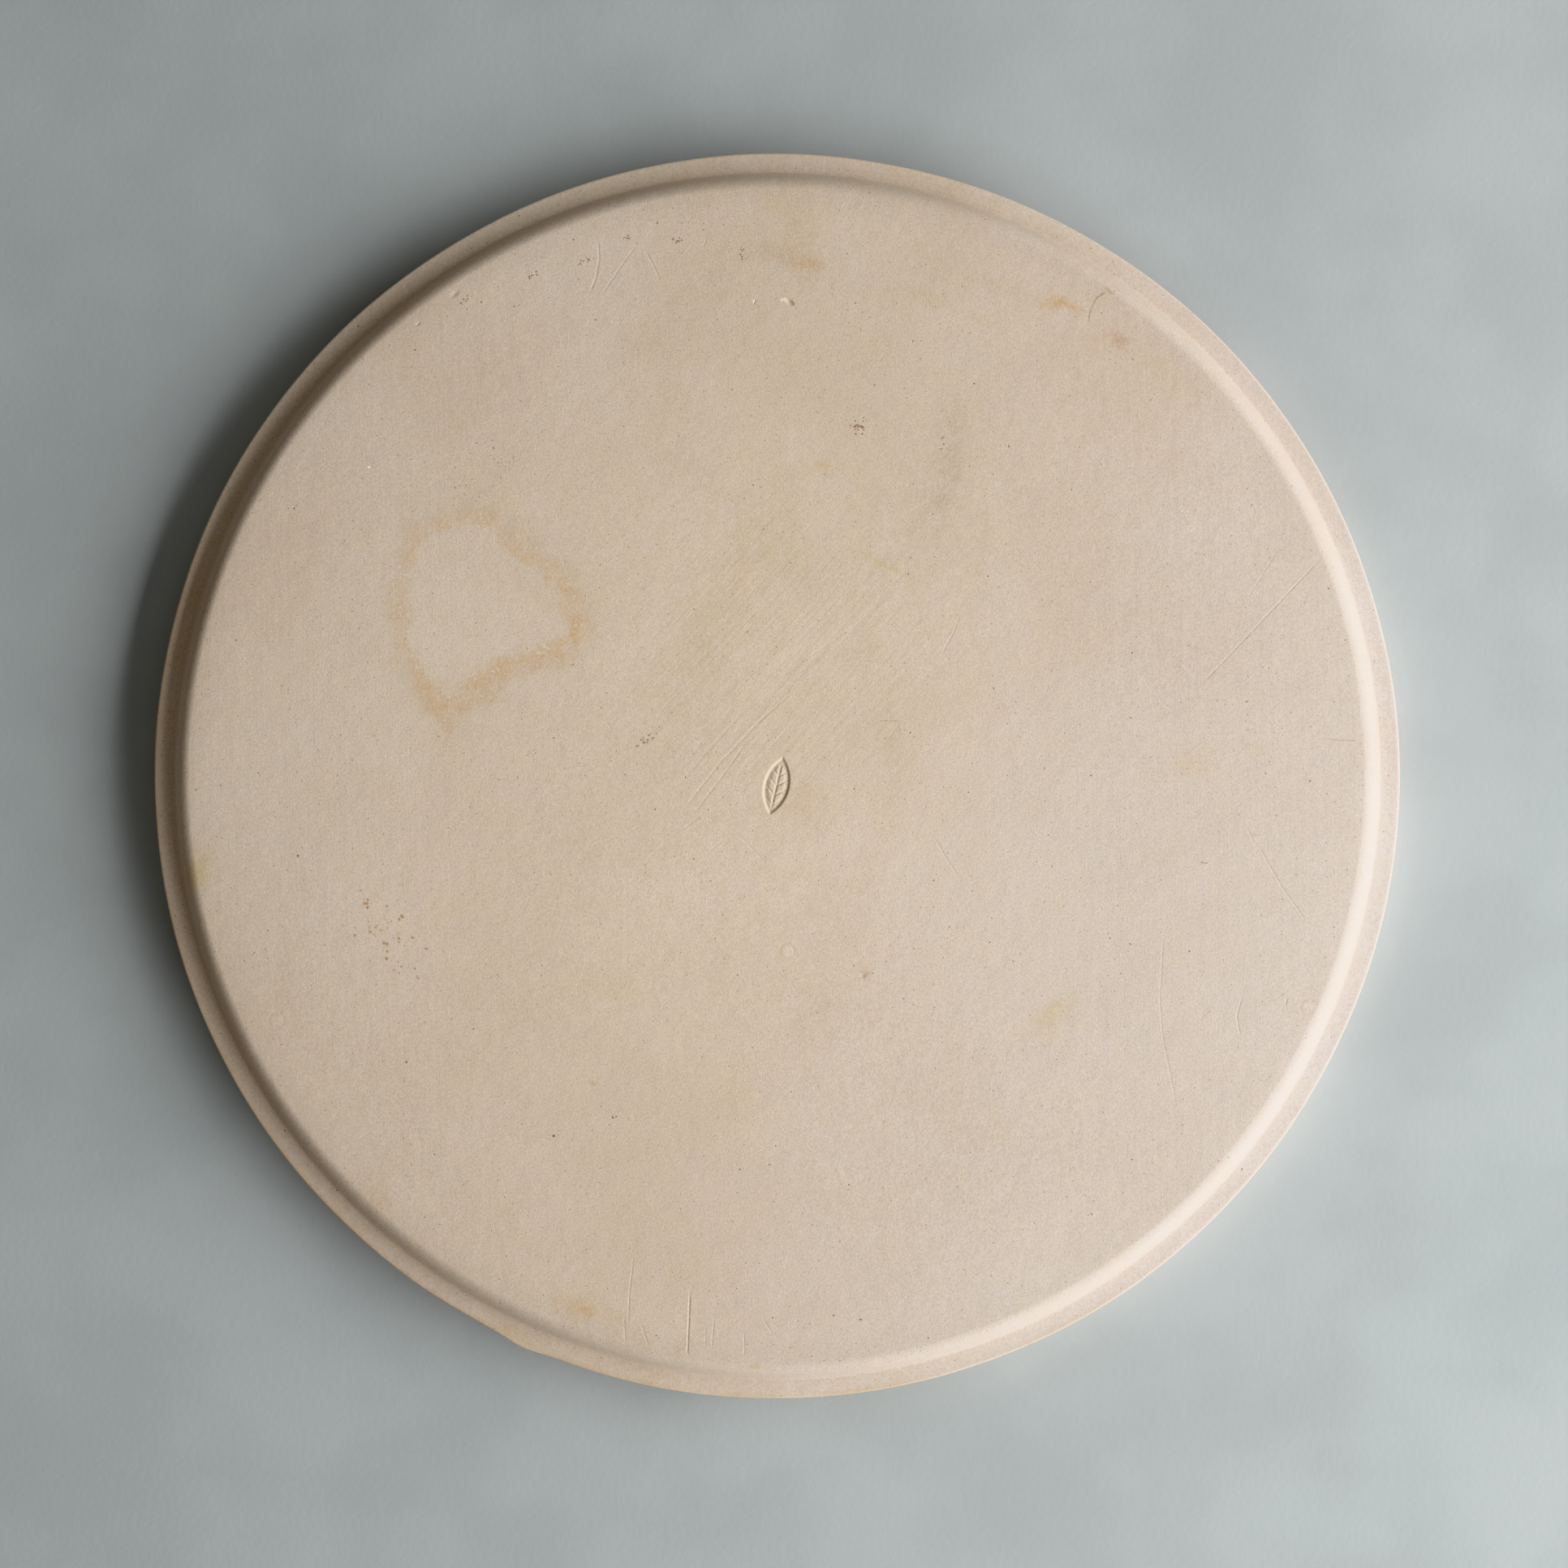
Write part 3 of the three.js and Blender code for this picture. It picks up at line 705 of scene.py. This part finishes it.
def make_backing():
    """The backing, ring by ring from the middle of its underside, up its side and in on top."""
    top = FACE_RIM_BOTTOM - GAP
    arris_width, arris_height = 0.3, 0.35
    section = [(r, 0.0, 0.0) for r in (30, 60, 90, 120, 150, 175)]
    section += [(BACK_RADIUS - BACK_CHAMFER, 0.0, 1.0)]
    chamfer_centre = (BACK_RADIUS - BACK_CHAMFER, BACK_CHAMFER)
    section += [(r, h, 1.0) for r, h in arc(chamfer_centre, BACK_CHAMFER, -math.pi / 2, 0, 5)[1:]]
    side_heights = (0.5 * (BACK_CHAMFER + top), top - arris_height)
    section += [(BACK_RADIUS, h, 1.0) for h in side_heights]
    section += [(BACK_RADIUS - arris_width, top, 1.0), (STEP_RADIUS, top, 0.0)]
    section += [(STEP_RADIUS - GAP, BACK_TOP, 0.0)]
    vertices = [round_ring(*point) for point in section]
    faces = []
    for k in range(len(section) - 1):
        faces += ring_faces((k + 1) * ROUND_STEPS, k * ROUND_STEPS)
    low_middle = len(section) * ROUND_STEPS
    vertices.append(np.array([[0.0, 0.0, 0.0], [0.0, 0.0, BACK_TOP]]))
    faces += fan_faces(0, low_middle)
    faces += fan_faces((len(section) - 1) * ROUND_STEPS, low_middle + 1)
    piece = new_piece("backing_cast_surface", np.vstack(vertices), faces)
    smooth_but_for_corners(piece)
    return piece


# ---- materials -------------------------------------------------------------------------------

class Shader:
    """Short words for making a material's nodes and joining them."""

    def __init__(self, name):
        self.material = bpy.data.materials.new(name)
        self.material.use_nodes = True
        self.tree = self.material.node_tree
        self.surface = self.tree.nodes["Principled BSDF"]
        place = self.node("ShaderNodeTexCoord").outputs["Object"]
        self.place = self.vector("MULTIPLY", place, (1 / MM,) * 3)

    def node(self, kind, **settings):
        made = self.tree.nodes.new(kind)
        for key, value in settings.items():
            setattr(made, key, value)
        return made

    def put(self, socket, value):
        """Links the socket where the value is another socket, and sets it otherwise."""
        if isinstance(value, bpy.types.NodeSocket):
            self.tree.links.new(value, socket)
        else:
            socket.default_value = value

    def math(self, operation, first, second=0.0):
        made = self.node("ShaderNodeMath", operation=operation)
        self.put(made.inputs[0], first)
        self.put(made.inputs[1], second)
        return made.outputs[0]

    def product(self, first, *others):
        for other in others:
            first = self.math("MULTIPLY", first, other)
        return first

    def vector(self, operation, first, second):
        made = self.node("ShaderNodeVectorMath", operation=operation)
        self.put(made.inputs[0], first)
        self.put(made.inputs[1], second)
        return made.outputs[0]

    def noise(self, size, detail=3.0, roughness=0.5, place=None):
        """Noise with features of about that many millimetres, from 0 to 1."""
        made = self.node("ShaderNodeTexNoise")
        self.put(made.inputs["Vector"], place or self.place)
        made.inputs["Scale"].default_value = 1 / size
        made.inputs["Detail"].default_value = detail
        made.inputs["Roughness"].default_value = roughness
        return made.outputs["Fac"]

    def brushed(self, degrees, along, across):
        """Noise drawn out along a direction, like the trail of a brush."""
        turned = self.node("ShaderNodeMapping", vector_type="TEXTURE")
        self.put(turned.inputs["Vector"], self.place)
        turned.inputs["Rotation"].default_value = (0, 0, math.radians(degrees))
        turned.inputs["Scale"].default_value = (along, across, across)
        return self.noise(1.0, detail=3, roughness=0.55, place=turned.outputs["Vector"])

    def cells(self, size):
        """Scattered cells, about that many millimetres apart."""
        made = self.node("ShaderNodeTexVoronoi", feature="F1")
        self.put(made.inputs["Vector"], self.place)
        made.inputs["Scale"].default_value = 1 / size
        return made

    def tone_of(self, cells):
        """A number of its own for each cell."""
        split = self.node("ShaderNodeSeparateColor")
        self.put(split.inputs[0], cells.outputs["Color"])
        return split.outputs[0]

    def fit(self, value, low, high, to_low=0.0, to_high=1.0):
        """A smooth step from one number to another, where the value goes from low to high."""
        made = self.node("ShaderNodeMapRange", interpolation_type="SMOOTHSTEP")
        self.put(made.inputs["Value"], value)
        for key, number in zip(("From Min", "From Max", "To Min", "To Max"),
                               (low, high, to_low, to_high)):
            made.inputs[key].default_value = number
        return made.outputs["Result"]

    def mix(self, share, first, second, blend="MIX"):
        made = self.node("ShaderNodeMix", data_type="RGBA", blend_type=blend)
        colours = [s for s in made.inputs if s.type == "RGBA"]
        self.put(made.inputs[0], share)
        self.put(colours[0], first)
        self.put(colours[1], second)
        return next(s for s in made.outputs if s.type == "RGBA")

    def times(self, colour, factor):
        """A colour times another colour."""
        return self.mix(1.0, colour, factor, "MULTIPLY")

    def flat_place(self):
        """The place with its height left out."""
        return self.vector("MULTIPLY", self.place, (1, 1, 0))

    def dot(self, direction):
        """How far a place lies along a direction, in millimetres."""
        made = self.node("ShaderNodeVectorMath", operation="DOT_PRODUCT")
        self.put(made.inputs[0], self.place)
        self.put(made.inputs[1], direction)
        return made.outputs["Value"]

    def distance(self, centre, flat=False):
        made = self.node("ShaderNodeVectorMath", operation="DISTANCE")
        self.put(made.inputs[0], self.flat_place() if flat else self.place)
        self.put(made.inputs[1], centre)
        return made.outputs["Value"]

    def brighter(self, colour, factor):
        return self.times(colour, (factor, factor, factor, 1.0))

    def field(self, name):
        """A number stored on the mesh's vertices."""
        return self.node("ShaderNodeAttribute", attribute_name=name).outputs["Fac"]

    def bump(self, height, depth, over=None):
        """The normal of a relief of that many millimetres, laid over another normal."""
        made = self.node("ShaderNodeBump")
        made.inputs["Strength"].default_value = 1.0
        made.inputs["Distance"].default_value = depth * MM
        self.put(made.inputs["Height"], height)
        if over is not None:
            self.put(made.inputs["Normal"], over)
        return made.outputs["Normal"]

    def finish(self, colour, roughness, normal):
        self.put(self.surface.inputs["Base Color"], colour)
        self.put(self.surface.inputs["Roughness"], roughness)
        self.put(self.surface.inputs["Normal"], normal)
        return self.material


def rgb(red, green, blue):
    """A colour given as screen values from 0 to 255, as the linear colour a shader takes."""
    linear = [((c / 255 + 0.055) / 1.055) ** 2.4 if c > 10 else c / 255 / 12.92
              for c in (red, green, blue)]
    return (*linear, 1.0)


WHITE = (1.0, 1.0, 1.0, 1.0)
LIT_SIDE_TINT = (1.0, 1.035, 1.12, 1.0)    # painted light: the side toward the key light, paler and cooler
LIT_RIM_TINT = (0.99, 1.02, 1.07, 1.0)  # painted light: the edge, wall and lip on that side paler still
CLAY = rgb(196, 162, 112)

# Specks in the plaster: size of their cells, radius, strength, tone, share of empty cells.
SPECKS = [
    (1.2, 0.2, 0.6, rgb(180, 162, 140), 0.55),
    (2.2, 0.12, 0.65, rgb(134, 114, 90), 0.5),
    (6.0, 0.055, 0.75, rgb(96, 78, 62), 0.6),
    (1.9, 0.13, 0.4, rgb(240, 234, 224), 0.7),
]

# The tints laid on thinly, with ragged edges.
STAIN_PAINTS = {
    "ochre": rgb(206, 174, 132),
    "yellow": rgb(206, 180, 130),
    "brown": rgb(182, 148, 112),
    "pink": rgb(206, 176, 154),
    "shade": rgb(190, 166, 146),
}

# The tints of the small dots, and how well each covers.
DOT_PAINTS = {
    "cream": (rgb(232, 216, 196), 0.7),
    "rust": (rgb(128, 82, 60), 0.75),
    "black": (rgb(66, 56, 48), 0.8),
    "pale": (rgb(246, 238, 226), 0.75),
}


def specked(shader, colour, size, radius, share, tone, empty_share):
    """Small round grains of another tone, one in some of the cells of a given size."""
    cells = shader.cells(size)
    chosen = shader.fit(shader.tone_of(cells), empty_share, empty_share + 0.05)
    dot = shader.fit(cells.outputs["Distance"], radius * 0.6, radius, 1, 0)
    return shader.mix(shader.product(dot, chosen, share), colour, tone)


def shaded(shader, colour, lit, shade):
    """The colour times a shade, least where lit is 1."""
    return shader.times(colour, shader.mix(lit, shade, WHITE))


def plaster_ground(shader, light, dark):
    """Buff plaster: slow clouds, a yellowish mottle, a paler mottle, grain and scattered specks."""
    clouds = shader.fit(shader.noise(60, detail=4, roughness=0.55), 0.3, 0.7)
    colour = shader.mix(clouds, dark, light)
    yellowish = shader.fit(shader.noise(7, detail=5, roughness=0.62), 0.3, 0.7)
    colour = shaded(shader, colour, yellowish, rgb(255, 254, 249))
    paler = shader.fit(shader.noise(11, detail=5, roughness=0.6), 0.3, 0.7)
    colour = shaded(shader, colour, paler, rgb(252, 252, 252))
    grain = shader.fit(shader.noise(0.65, detail=2, roughness=0.6), 0.28, 0.72)
    colour = shaded(shader, colour, grain, rgb(240, 238, 235))
    for kind in SPECKS:
        colour = specked(shader, colour, *kind)
    return colour


def painted(shader, colour, share, paint):
    """The colour with paint over a share of it, which may be more than 1."""
    return shader.mix(shader.math("MINIMUM", share, 1.0), colour, paint)


def face_material():
    """Buff plaster, worked on, stained and brushed; painted paler toward the key light, with
    painted shade away from it and a darker edge.
    """
    shader = Shader("face_plaster")
    colour = plaster_ground(shader, rgb(224, 207, 191), rgb(220, 201, 183))

    # The side toward the key light is painted paler and cooler, as painted light, and the middle is
    # worn cleaner.
    toward_light = shader.dot((math.cos(LIGHT_AZIMUTH), math.sin(LIGHT_AZIMUTH), 0))
    painted_lit_side = shader.fit(toward_light, -20, 190)
    colour = shader.mix(painted_lit_side, colour, shader.times(colour, LIT_SIDE_TINT))
    cleaned = shader.fit(shader.distance((-45, 5, PLATEAU_TOP)), 45, 170, 0.95, 0)
    colour = shader.mix(cleaned, colour, shader.brighter(colour, 1.1))
    strokes, wipes = brush_trails(shader)
    colour = shaded(shader, colour, strokes, rgb(252, 251, 250))
    colour = shaded(shader, colour, wipes, rgb(254, 254, 254))

    # Stains: each tint's field is broken up by noise, then laid on like thin paint.
    ragged = shader.fit(shader.noise(4.5, detail=5, roughness=0.7), 0.3, 0.7, 0.35, 1.3)
    gritty = shader.fit(shader.noise(0.9, detail=2, roughness=0.6), 0.35, 0.65, 0.5, 1.4)
    broken = shader.product(ragged, gritty)
    for tint, paint in STAIN_PAINTS.items():
        colour = painted(shader, colour, shader.product(shader.field(tint), broken), paint)
    colour = tide_mark(shader, colour, ragged, gritty)
    for tint, (paint, cover) in DOT_PAINTS.items():
        colour = painted(shader, colour, shader.product(shader.field(tint), cover), paint)

    colour = rim_wear(shader, darker_edge_and_lit_rim(shader, colour, painted_lit_side))
    normal = shader.bump(shader.noise(0.5, detail=3, roughness=0.65), 0.07)
    normal = shader.bump(shader.noise(4.5, detail=3), 0.12, over=normal)
    normal = shader.bump(strokes, 0.018, over=normal)
    normal = shader.bump(wipes, 0.006, over=normal)
    roughness = shader.fit(shader.noise(20, detail=3), 0.3, 0.7, 0.86, 0.97)
    return shader.finish(colour, roughness, normal)


def brush_trails(shader):
    """Slanting strokes across the middle and upright wipes at both sides. 1 is untouched."""
    near_middle = shader.fit(shader.distance((2, 34, PLATEAU_TOP)), 18, 72, 1, 0)
    strokes = shader.fit(shader.brushed(48, 30, 1.6), 0.36, 0.62)
    strokes = shader.mix(near_middle, WHITE, strokes)
    sideways = shader.math("ABSOLUTE", shader.dot((1, 0, 0)))
    wipes = shader.fit(shader.brushed(91, 40, 1.3), 0.36, 0.62)
    wipes = shader.mix(shader.fit(sideways, 60, 110), WHITE, wipes)
    return strokes, wipes


def tide_mark(shader, colour, ragged, gritty):
    """A soft band of ochre along the mark's line, crumbled by grains, in a faint darker halo.

    Towards its drier side, at the upper left, the band is narrower and weaker."""
    wander = shader.product(shader.math("SUBTRACT", shader.noise(8, detail=5), 0.5), 12.0)
    notches = shader.product(shader.math("SUBTRACT", shader.noise(2.2, detail=3), 0.5), 5.0)
    tide = shader.math("ADD", shader.field("tide"), shader.math("ADD", wander, notches))
    to_wet_side = shader.dot((0.6, -0.8, 0))
    tide = shader.product(tide, shader.fit(to_wet_side, -120, -80, 1.5, 1.0))
    band = shader.product(shader.fit(tide, -5.0, -0.8), shader.fit(tide, -0.5, 8.0, 1, 0))
    share = shader.product(band, ragged, gritty)
    strength = shader.fit(to_wet_side, -125, -72, 0.4, 0.52)
    colour = painted(shader, colour, shader.product(share, strength), rgb(212, 176, 132))

    flecks = shader.cells(1.9)
    chosen = shader.fit(shader.tone_of(flecks), 0.66, 0.7)
    fleck = shader.fit(flecks.outputs["Distance"], 0.16, 0.26, 1, 0)
    colour = painted(shader, colour, shader.product(fleck, chosen, band, 0.5), rgb(236, 222, 204))
    halo = shader.product(shader.fit(tide, 4, 14, 0.07, 0), shader.fit(tide, 0, 4))
    return painted(shader, colour, halo, rgb(186, 166, 138))


def darker_edge_and_lit_rim(shader, colour, painted_lit_side):
    """The rounded edge and the wall made darker, and on the lit side the edge, wall and lip
    painted paler and cooler, as painted light.

    Away from the lit side the darkening starts earlier, on the plateau, as painted shade."""
    radius = shader.distance((0, 0, 0), flat=True)
    edge = shader.fit(radius, PLATEAU_RADIUS - 1, PLATEAU_RADIUS + 3)
    # Painted shade: on the side away from the key light a band of the plateau is darkened too.
    spread = shader.fit(radius, PLATEAU_RADIUS - 10, PLATEAU_RADIUS + 2)
    spread = shader.product(spread, shader.math("SUBTRACT", 1.0, painted_lit_side))
    above_foot = shader.fit(radius, WALL_FOOT_RADIUS - 1, WALL_FOOT_RADIUS + 1, 1, 0)
    edge_darkening = shader.product(shader.math("MAXIMUM", edge, spread), above_foot)
    colour = shader.mix(edge_darkening, colour, shader.brighter(colour, 0.935))
    # Painted light: the edge, wall and lip paler and cooler on the lit side.
    painted_lit_rim = shader.product(edge, painted_lit_side)
    return shader.mix(painted_lit_rim, colour, shader.times(colour, LIT_RIM_TINT))


def rim_wear(shader, colour):
    """Ochre clay rubbed into the lip's outer arris, mostly on the side away from the light."""
    radius = shader.distance((0, 0, 0), flat=True)
    patchy = shader.fit(shader.noise(26, detail=4, roughness=0.6), 0.35, 0.65, 0.2, 0.8)
    toward_worn = shader.dot((math.cos(WORN_AZIMUTH), math.sin(WORN_AZIMUTH), 0))
    worn = shader.fit(toward_worn, -60, 190, 0, 0.55)
    arris = shader.fit(radius, FACE_RADIUS - 2.4, FACE_RADIUS - 0.4)
    return painted(shader, colour, shader.product(arris, patchy, worn), CLAY)


def backing_material():
    """Coarser plaster, struck off with a board that left drag marks, with air pits."""
    shader = Shader("backing_plaster")
    colour = plaster_ground(shader, rgb(216, 201, 184), rgb(206, 190, 171))
    drag_place = shader.vector("MULTIPLY", shader.place, (0.03, 1.0, 1.0))
    drag = shader.noise(2.2, detail=5, roughness=0.7, place=drag_place)
    colour = shader.mix(shader.fit(drag, 0.55, 0.75, 0, 0.25), colour, rgb(186, 166, 142))
    pits = shader.cells(3.4)
    hole = shader.fit(pits.outputs["Distance"], 0.1, 0.2, 0, 1)
    normal = shader.bump(shader.noise(0.7, detail=3), 0.09)
    normal = shader.bump(drag, 0.35, over=normal)
    normal = shader.bump(hole, 0.3, over=normal)
    roughness = shader.fit(shader.noise(15), 0.3, 0.7, 0.88, 0.98)
    return shader.finish(colour, roughness, normal)


def wire_material(name, light, dark, spangle, metallic):
    """Drawn wire: crystals or scale that differ in tone, with the plaster's bloom on it."""
    shader = Shader(name)
    cells = shader.cells(spangle)
    colour = shader.mix(shader.tone_of(cells), dark, light)
    bloom = shader.fit(shader.noise(3, detail=4), 0.52, 0.68, 0, 0.6)
    colour = shader.mix(bloom, colour, rgb(190, 180, 166))
    shader.surface.inputs["Metallic"].default_value = metallic
    roughness = shader.fit(shader.noise(1.5), 0.3, 0.7, 0.35, 0.6)
    normal = shader.bump(shader.noise(0.4, detail=2), 0.03)
    return shader.finish(colour, roughness, normal)


def give(piece, material):
    """Makes a material the only one of a piece."""
    piece.data.materials.clear()
    piece.data.materials.append(material)


# ---- stage, light and camera -----------------------------------------------------------------

# The light and the floor are in metres and watts, the camera is in millimetres.
LIGHT_ELEVATION = math.radians(27)
LIGHT_DISTANCE = 1.4
LIGHT_SIZE = (3.0, 1.0)
LIGHT_POWER = 55
FLOOR_REACH = 1.25                  # short of the plane of the light

LENS = 50
SENSOR_WIDTH = 24
FRAME_WIDTH = 478.5                 # what the camera takes in at the height of the lip
CAMERA_OVER = (2.3, -2.45)


def make_floor():
    """A plain pale floor, square."""
    mesh = bpy.data.meshes.new("floor")
    signs = ((-1, -1), (1, -1), (1, 1), (-1, 1))
    corners = [(x * FLOOR_REACH, y * FLOOR_REACH, 0) for x, y in signs]
    mesh.from_pydata(corners, [], [(0, 1, 2, 3)])
    floor = bpy.data.objects.new("floor", mesh)
    bpy.context.scene.collection.objects.link(floor)
    shader = Shader("floor")
    colour = shader.mix(shader.fit(shader.noise(60, detail=5), 0.35, 0.65),
                        rgb(174, 179, 180), rgb(181, 186, 187))
    normal = shader.bump(shader.noise(2, detail=3), 0.05)
    give(floor, shader.finish(colour, 0.9, normal))


def aim(thing, target):
    """Turns a light to face a point."""
    direction = Vector(target) - thing.location
    thing.rotation_mode = "QUATERNION"
    thing.rotation_quaternion = direction.to_track_quat("-Z", "Y")


def soft_light(name, azimuth, elevation, distance, size, power, colour):
    """A flat light aimed at the mould."""
    data = bpy.data.lights.new(name, "AREA")
    data.shape = "RECTANGLE"
    data.size, data.size_y = size
    data.energy = power
    data.color = colour
    light = bpy.data.objects.new(name, data)
    across = distance * math.cos(elevation)
    light.location = (across * math.cos(azimuth), across * math.sin(azimuth),
                      distance * math.sin(elevation))
    bpy.context.scene.collection.objects.link(light)
    aim(light, (0, 0, 0))


def make_lights():
    """One soft key light, and a dim warm light from all round."""
    soft_light("key", LIGHT_AZIMUTH, LIGHT_ELEVATION, LIGHT_DISTANCE, LIGHT_SIZE, LIGHT_POWER,
               (0.98, 1.0, 1.0))
    world = bpy.data.worlds.new("studio")
    world.use_nodes = True
    background = world.node_tree.nodes["Background"]
    background.inputs["Color"].default_value = (1.0, 0.97, 0.92, 1.0)
    background.inputs["Strength"].default_value = 0.19
    bpy.context.scene.world = world


def make_camera():
    """A camera that looks straight down, as far off as its lens needs to take in the frame."""
    data = bpy.data.cameras.new("camera")
    data.lens = LENS
    data.sensor_width = SENSOR_WIDTH
    height = FRAME_WIDTH * LENS / SENSOR_WIDTH
    camera = bpy.data.objects.new("camera", data)
    camera.location = Vector((*CAMERA_OVER, LIP_TOP + height)) * MM
    data.clip_start, data.clip_end = 0.05, 20
    bpy.context.scene.collection.objects.link(camera)
    bpy.context.scene.camera = camera


# ---- the scene -------------------------------------------------------------------------------

make_camera()
make_floor()
make_lights()

face = make_face()
give(face, face_material())
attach(face, "root")
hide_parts("face_coat")

backing = make_backing()
give(backing, backing_material())
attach(backing, "root")
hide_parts("backing_cast")

galvanised = wire_material("galvanised_wire", rgb(176, 180, 182), rgb(128, 132, 134), 1.6, 0.9)
annealed = wire_material("tie_wire", rgb(96, 88, 80), rgb(58, 52, 48), 0.8, 0.8)
for name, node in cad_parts.items():
    if name.startswith(("hoop", "spoke")):
        give(node, galvanised)
    elif name.startswith("tie"):
        give(node, annealed)

bpy.context.scene.view_settings.view_transform = "Khronos PBR Neutral"
